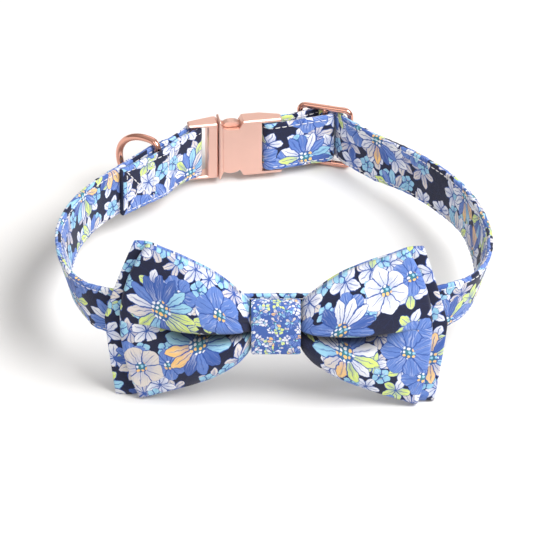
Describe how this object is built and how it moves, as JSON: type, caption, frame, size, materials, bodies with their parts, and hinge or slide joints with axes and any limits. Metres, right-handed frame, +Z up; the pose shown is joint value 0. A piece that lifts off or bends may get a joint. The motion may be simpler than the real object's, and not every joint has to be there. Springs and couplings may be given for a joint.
{
  "type": "pet bow tie collar",
  "caption": "Fabric covered pet collar with a side release buckle, slider, swinging D ring and a fabric bow tie",
  "frame": {"origin": "on the floor, under the middle of the bounding box", "axes": "X to the right across the neck loop as seen from the bow's side, Y from the bow at the front to the buckle at the back, Z up from the floor that the collar stands on"},
  "size_m": [0.1598, 0.1534, 0.065],
  "materials": {
    "print_cotton": "woven cotton with an all over flower print",
    "print_cotton_knot": "woven cotton with a smaller flower print",
    "rose_gold_satin": "satin rose gold plating",
    "rose_gold_polished": "polished rose gold plating",
    "elastic_black": "plain woven elastic"
  },
  "bodies": {
    "collar": {"strap": "print_cotton", "buckle_plug": "rose_gold_satin", "buckle_socket": "rose_gold_satin", "slider": "rose_gold_polished", "bow_front": "print_cotton", "bow_back": "print_cotton", "bow_knot": "print_cotton_knot", "bow_elastic_left": "elastic_black", "bow_elastic_right": "elastic_black"},
    "ring": {"d_ring": "rose_gold_polished"}
  },
  "joints": [
    {"name": "ring_swing", "type": "hinge", "parent": "collar", "child": "ring", "pos_m": [-0.04314, 0.04277, 0.01683], "axis": [0, 0.1419, 0.9899], "range_deg": [-55, 55]}
  ]
}
